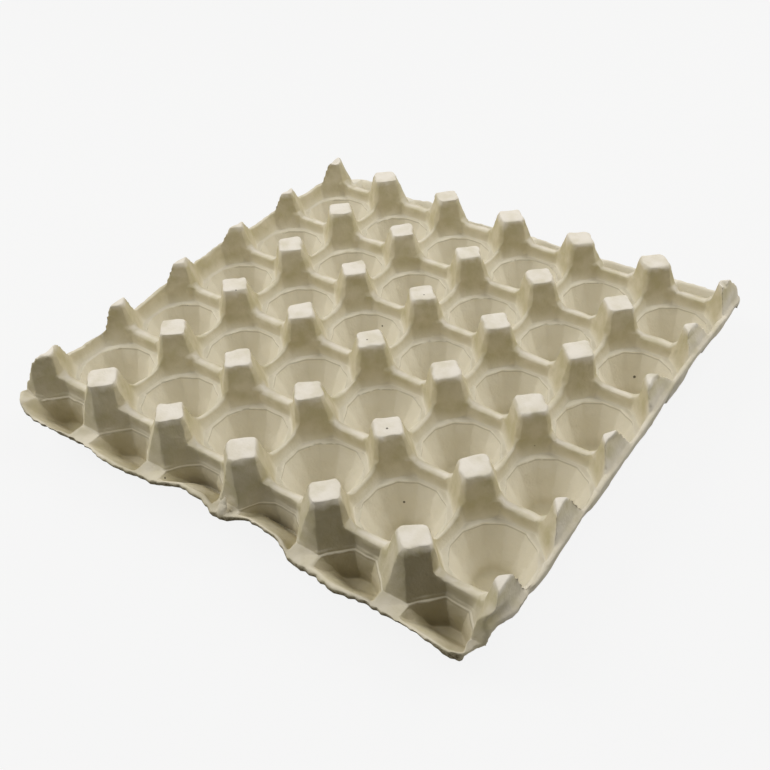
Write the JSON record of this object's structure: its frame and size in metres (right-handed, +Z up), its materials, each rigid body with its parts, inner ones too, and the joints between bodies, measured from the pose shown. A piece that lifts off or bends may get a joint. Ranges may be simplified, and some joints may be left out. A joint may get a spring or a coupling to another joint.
{
  "type": "pulp egg tray",
  "caption": "Square moulded pulp tray for eggs: faceted cups between tapered hollow posts, half posts along two sides and half pockets with a low flange along the other two.",
  "frame": {"origin": "middle of the tray's plan, on the plane that the cup floors stand on", "axes": "+X along the two edges with half pockets and a low flange, +Y along the two edges with half posts, +Z up out of the cups"},
  "size_m": [0.297, 0.299, 0.047],
  "materials": {
    "moulded_pulp": "matte and fibrous, greyish beige, uncoated"
  },
  "bodies": {
    "root": {"egg_tray": "moulded_pulp"}
  },
  "joints": []
}
